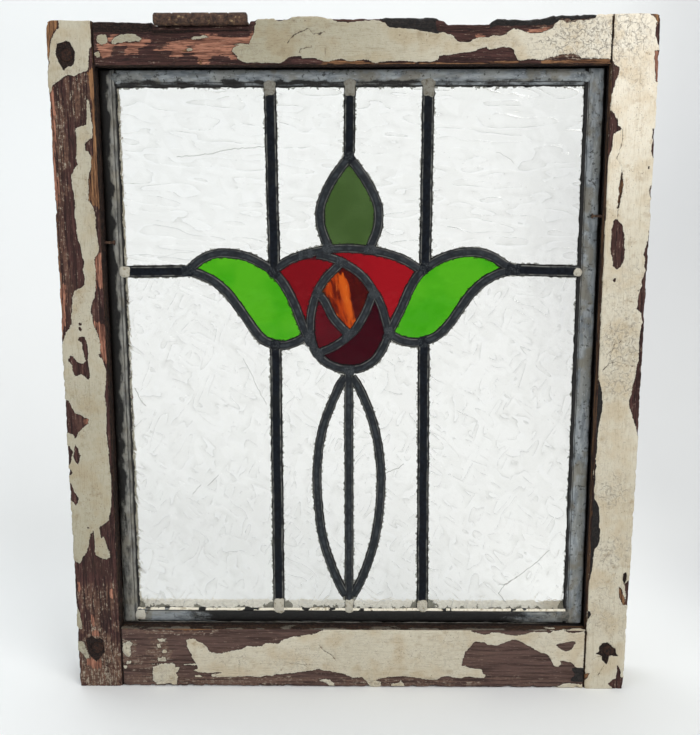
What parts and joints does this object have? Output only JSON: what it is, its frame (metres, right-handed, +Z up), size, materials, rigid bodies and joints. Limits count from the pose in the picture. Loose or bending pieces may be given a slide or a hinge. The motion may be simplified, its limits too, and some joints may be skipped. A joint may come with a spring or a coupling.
{
  "type": "stained glass window",
  "caption": "Small leaded-light sash: pegged and painted wood frame, rusted hinge on its top edge, and a panel of clear and coloured glass in lead cames showing a rose on a stem.",
  "frame": {"origin": "centre of the underside of the sash, midway between the hinge barrel's front and the inner face", "axes": "+Z up, +X to the right seen from the outer face, +Y from the outer (rebated) face to the inner face"},
  "size_m": [0.457, 0.0499, 0.5417],
  "materials": {
    "painted_softwood": "flaking cream paint over red-brown primer and bare pine",
    "bare_peg_wood": "dark worn end grain",
    "weathered_lead": "dull oxidised lead, pale bloom",
    "dark_lead": "dark patinated lead with soldered joints",
    "rusted_iron": "heavy brown rust with paint traces",
    "clear_glass": "frosted relief pattern, clear",
    "olive_glass": "seedy cathedral glass, olive green",
    "green_glass": "seedy cathedral glass, bright green",
    "red_glass": "smooth ruby glass",
    "maroon_glass": "smooth dark maroon glass",
    "amber_glass": "streaky orange and dark red glass"
  },
  "bodies": {
    "root": {"came_bar_cross_left": "dark_lead", "came_bar_cross_right": "dark_lead", "came_bar_lower_left": "dark_lead", "came_bar_lower_right": "dark_lead", "came_bar_top_centre": "dark_lead", "came_bar_upper_left": "dark_lead", "came_bar_upper_right": "dark_lead", "came_border_bottom": "weathered_lead", "came_border_left": "weathered_lead", "came_border_right": "weathered_lead", "came_border_top": "weathered_lead", "came_bud_left": "dark_lead", "came_bud_right": "dark_lead", "came_leaf_left_lower": "dark_lead", "came_leaf_left_upper": "dark_lead", "came_leaf_right_lower": "dark_lead", "came_leaf_right_upper": "dark_lead", "came_lens_left": "dark_lead", "came_lens_right": "dark_lead", "came_rose_body": "dark_lead", "came_rose_sweep": "dark_lead", "came_rose_top": "dark_lead", "came_rose_vee_left": "dark_lead", "came_rose_vee_right": "dark_lead", "came_stem": "dark_lead", "glass_bud": "olive_glass", "glass_leaf_left": "green_glass", "glass_leaf_right": "green_glass", "glass_lens_left": "clear_glass", "glass_lens_right": "clear_glass", "glass_lower_left": "clear_glass", "glass_lower_mid_left": "clear_glass", "glass_lower_mid_right": "clear_glass", "glass_lower_right": "clear_glass", "glass_petal_inner_left": "red_glass", "glass_petal_lower": "maroon_glass", "glass_petal_outer_left": "red_glass", "glass_petal_outer_right": "red_glass", "glass_rose_heart": "amber_glass", "glass_upper_left": "clear_glass", "glass_upper_mid_left": "clear_glass", "glass_upper_mid_right": "clear_glass", "glass_upper_right": "clear_glass", "glazing_nail_left": "rusted_iron", "glazing_nail_right": "rusted_iron", "hinge_leaf": "rusted_iron", "peg_bottom_left": "bare_peg_wood", "peg_bottom_right": "bare_peg_wood", "peg_top_left": "bare_peg_wood", "rail_bottom": "painted_softwood", "rail_top": "painted_softwood", "stile_left": "painted_softwood", "stile_right": "painted_softwood"}
  },
  "joints": []
}
